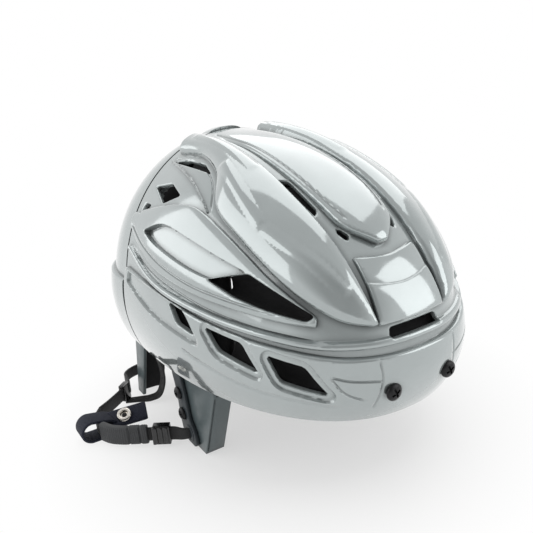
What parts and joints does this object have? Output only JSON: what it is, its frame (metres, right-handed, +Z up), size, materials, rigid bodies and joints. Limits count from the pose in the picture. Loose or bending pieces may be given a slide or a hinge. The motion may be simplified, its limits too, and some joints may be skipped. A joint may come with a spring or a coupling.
{
  "type": "ice hockey helmet",
  "caption": "Vented hockey helmet: front shell with raised lobes, sliding rear shell with fit dial, foam liners, ear and nape guards, and a padded chin strap.",
  "frame": {"origin": "middle of the head opening, on the level of the shell's rim", "axes": "-Y is the helmet's front, +X the wearer's left, +Z up"},
  "size_m": [0.2495, 0.2889, 0.2023],
  "materials": {
    "shell": "glossy",
    "foam": "matt",
    "black_screw": "semi-gloss",
    "nut_steel": "satin",
    "guard": "semi-gloss",
    "anchor": "satin",
    "black_plastic": "glossy",
    "webbing": "woven",
    "pad_rubber": "matt",
    "navy_webbing": "woven",
    "nickel": "satin"
  },
  "bodies": {
    "front": {"front_shell": "shell", "forehead_liner": "foam", "side_liner_right": "foam", "side_liner_left": "foam", "crown_liner": "foam", "brow_screws": "black_screw", "brow_nuts": "nut_steel", "ear_guard_right": "guard", "ear_guard_left": "guard", "ear_guard_screws": "black_screw", "strap_anchor_right": "anchor", "strap_anchor_left": "anchor", "anchor_screws": "black_screw"},
    "rear": {"rear_shell": "shell", "rear_liner": "foam", "occipital_pad": "foam", "nape_guard_right": "guard", "nape_guard_left": "guard", "nape_pad_right": "foam", "nape_pad_left": "foam", "nape_screws": "black_screw", "dial_housing": "anchor", "dial_screw": "black_screw"},
    "dial": {"fit_dial": "black_plastic"},
    "strap": {"chin_strap_right": "webbing", "chin_strap_left": "webbing", "strap_tail": "webbing", "small_buckle": "black_plastic", "chin_pad": "pad_rubber", "snap_loop": "navy_webbing", "snap_socket": "nickel"},
    "buckle": {"slide_buckle": "black_plastic"}
  },
  "joints": [
    {"name": "rear_shell_slide", "type": "slide", "parent": "front", "child": "rear", "axis": [0, 1, 0], "range_m": [0, 0.01]},
    {"name": "fit_dial_turn", "type": "hinge", "parent": "rear", "child": "dial", "pos_m": [0, 0.145, 0.027], "axis": [0, 1, 0], "range_deg": [0, 360]},
    {"name": "chin_strap_swing", "type": "hinge", "parent": "front", "child": "strap", "pos_m": [0, 0.002, -0.05055], "axis": [-1, 0, 0], "range_deg": [0, 95]},
    {"name": "buckle_slide", "type": "slide", "parent": "strap", "child": "buckle", "axis": [-0.829, 0.5592, 0], "range_m": [-0.0035, 0.0035]}
  ],
  "couplings": [
    {"joint": "fit_dial_turn", "follows": "rear_shell_slide", "rad_per_m": 628.3}
  ]
}
